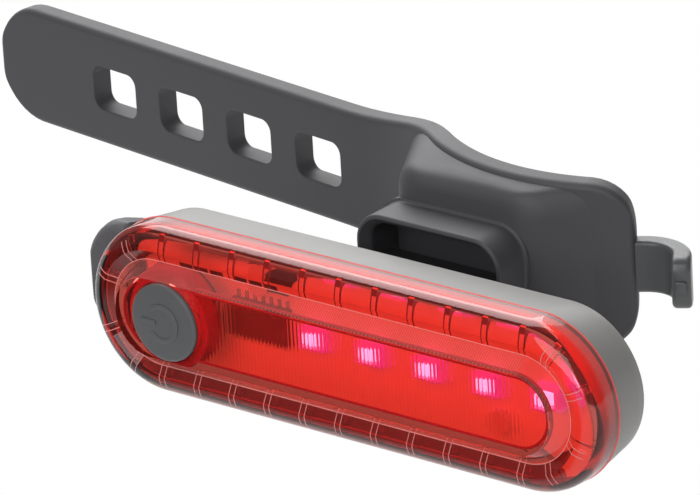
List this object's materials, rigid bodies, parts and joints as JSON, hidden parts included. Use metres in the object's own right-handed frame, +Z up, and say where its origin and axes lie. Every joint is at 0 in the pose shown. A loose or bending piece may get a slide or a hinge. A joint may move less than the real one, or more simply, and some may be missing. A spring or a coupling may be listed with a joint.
{
  "type": "bike light",
  "caption": "Oblong rechargeable rear light with a ribbed red lens, plugged into the socket of a rubber seat-post saddle with a holed strap and hook.",
  "frame": {"origin": "middle of the saddle's curved seat, where it first touches the seat post", "axes": "+Z up along the seat post, -Y the way the lamp shines, +X to the right seen from behind the bicycle"},
  "size_m": [0.1282, 0.0508, 0.0265],
  "materials": {
    "lens_plastic": "clear red, glossy",
    "housing_plastic": "fine satin grey",
    "bracket_rubber": "soft matte black",
    "hook_plastic": "satin black",
    "button_rubber": "soft matte dark grey",
    "cover_rubber": "soft matte black",
    "seal_silicone": "soft",
    "clip_plastic": "fine matte black",
    "board_laminate": "white solder mask",
    "led_package": "white moulding",
    "chip_epoxy": "black epoxy",
    "component_ceramic": "ceramic",
    "switch_metal": "pressed sheet",
    "port_metal": "plated sheet",
    "screw_steel": "zinc plated",
    "cell_foil": "laminated foil",
    "tape_foam": "foam tape",
    "lead_red_sleeve": "smooth sleeve",
    "lead_black_sleeve": "smooth sleeve"
  },
  "bodies": {
    "mount": {"saddle": "bracket_rubber", "strap_hook": "hook_plastic"},
    "lamp": {"housing": "housing_plastic", "lens": "lens_plastic", "lens_seal": "seal_silicone", "switch_body": "switch_metal", "circuit_board": "board_laminate", "control_chip": "chip_epoxy", "board_resistors": "component_ceramic", "board_capacitor": "component_ceramic", "port_shell": "port_metal", "port_tongue": "chip_epoxy", "cover_anchor": "cover_rubber", "battery_cell": "cell_foil", "battery_tape": "tape_foam", "battery_lead_red": "lead_red_sleeve", "battery_lead_black": "lead_black_sleeve", "board_screws": "screw_steel", "rear_clip": "clip_plastic", "clip_screws": "screw_steel", "led_1": "led_package", "led_2": "led_package", "led_3": "led_package", "led_4": "led_package", "led_5": "led_package"},
    "button": {"power_button": "button_rubber", "switch_plunger": "chip_epoxy"},
    "cover": {"port_cover": "cover_rubber"},
    "link_1": {"strap_link_1": "bracket_rubber"},
    "link_2": {"strap_link_2": "bracket_rubber"},
    "link_3": {"strap_link_3": "bracket_rubber"},
    "tip": {"strap_tip": "bracket_rubber"}
  },
  "joints": [
    {"name": "lamp_release", "type": "slide", "parent": "mount", "child": "lamp", "axis": [0, -1, 0], "range_m": [0, 0.008]},
    {"name": "button_press", "type": "slide", "parent": "lamp", "child": "button", "axis": [0, 1, 0], "range_m": [0, 0.0004], "stiffness_N_per_m": 1500},
    {"name": "port_cover_open", "type": "hinge", "parent": "lamp", "child": "cover", "pos_m": [-0.042, -0.017, -0.0055], "axis": [0, 0, -1], "range_deg": [0, 100]},
    {"name": "strap_bend_1", "type": "hinge", "parent": "mount", "child": "link_1", "pos_m": [-0.03298, 0.00978, 0], "axis": [0, 0, -1], "range_deg": [0, 42], "stiffness_Nm_per_rad": 0.02},
    {"name": "strap_bend_2", "type": "hinge", "parent": "link_1", "child": "link_2", "pos_m": [-0.04524, 0.01141, 0], "axis": [0, 0, -1], "range_deg": [0, 42], "stiffness_Nm_per_rad": 0.02},
    {"name": "strap_bend_3", "type": "hinge", "parent": "link_2", "child": "link_3", "pos_m": [-0.0575, 0.01305, 0], "axis": [0, 0, -1], "range_deg": [0, 42], "stiffness_Nm_per_rad": 0.02},
    {"name": "strap_bend_4", "type": "hinge", "parent": "link_3", "child": "tip", "pos_m": [-0.06976, 0.01469, 0], "axis": [0, 0, -1], "range_deg": [0, 42], "stiffness_Nm_per_rad": 0.02}
  ],
  "couplings": [
    {"joint": "strap_bend_2", "follows": "strap_bend_1", "ratio": 1},
    {"joint": "strap_bend_3", "follows": "strap_bend_1", "ratio": 1},
    {"joint": "strap_bend_4", "follows": "strap_bend_1", "ratio": 1}
  ]
}
